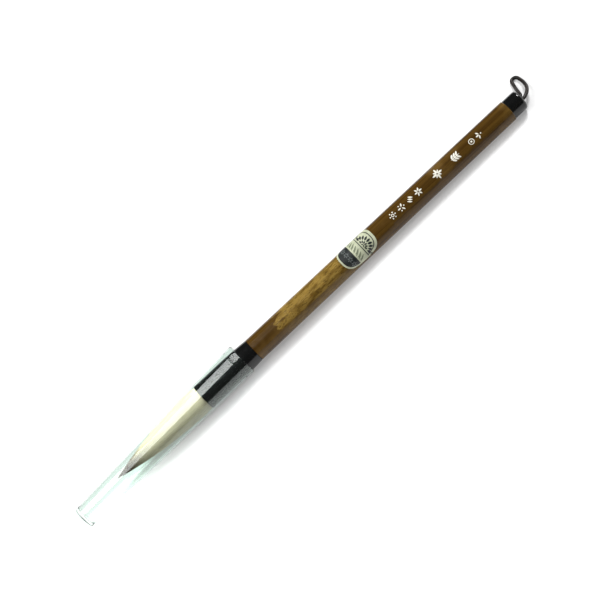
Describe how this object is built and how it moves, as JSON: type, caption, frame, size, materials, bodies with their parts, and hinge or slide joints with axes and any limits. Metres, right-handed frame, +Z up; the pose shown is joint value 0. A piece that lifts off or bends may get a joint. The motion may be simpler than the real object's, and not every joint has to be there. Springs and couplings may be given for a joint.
{
  "type": "calligraphy brush",
  "caption": "Large bamboo calligraphy brush with a layered hair tip, flared black ferrule, black end cap with a cord loop, wrapped label, and a clear tapered slip-on cap.",
  "frame": {"origin": "centre of the footprint of the brush and its cap, at the table they lie on, the cord loop left out", "axes": "+X along the brush towards the end cap and loop, -X towards the hair and the cap's closed end, +Z up, +Y across the table"},
  "size_m": [0.2944, 0.0249, 0.0164],
  "materials": {
    "bamboo": "stained and lacquered bamboo, golden and mottled near the ferrule, dark brown above",
    "black_horn": "glossy black",
    "glue": "amber adhesive",
    "thread": "waxed thread",
    "white_hair": "fine cream-white hair, sized to a point",
    "brown_hair": "fine brown hair",
    "dark_hair": "stiff dark-brown hair",
    "cord": "tightly braided dark-brown cord, waxed and slightly shiny",
    "label_paper": "coated paper with a printed dark band and plain ornament",
    "white_filling": "white pigment paste",
    "clear_plastic": "clear, faintly green, glossy"
  },
  "bodies": {
    "brush": {"bamboo_handle": "bamboo", "ferrule": "black_horn", "hair_glue_bed": "glue", "root_binding": "thread", "outer_hair": "white_hair", "core_hair": "brown_hair", "point_hair": "dark_hair", "end_cap": "black_horn", "oval_label": "label_paper", "white_mark_1": "white_filling", "white_mark_2": "white_filling", "white_mark_3": "white_filling", "white_mark_4": "white_filling", "white_mark_5": "white_filling", "white_mark_6": "white_filling", "white_mark_7": "white_filling", "white_mark_8": "white_filling"},
    "cap": {"clear_cap": "clear_plastic"},
    "loop": {"hanging_loop": "cord", "loop_knot": "cord"}
  },
  "joints": [
    {"name": "cap_slide", "type": "slide", "parent": "brush", "child": "cap", "axis": [-0.9998, -0.0175, 0], "range_m": [0, 0.11]},
    {"name": "loop_swivel", "type": "hinge", "parent": "brush", "child": "loop", "pos_m": [0.14278, -0.00045, 0.00541], "axis": [0.9999, 0, -0.0105], "range_deg": [0, 215]}
  ]
}
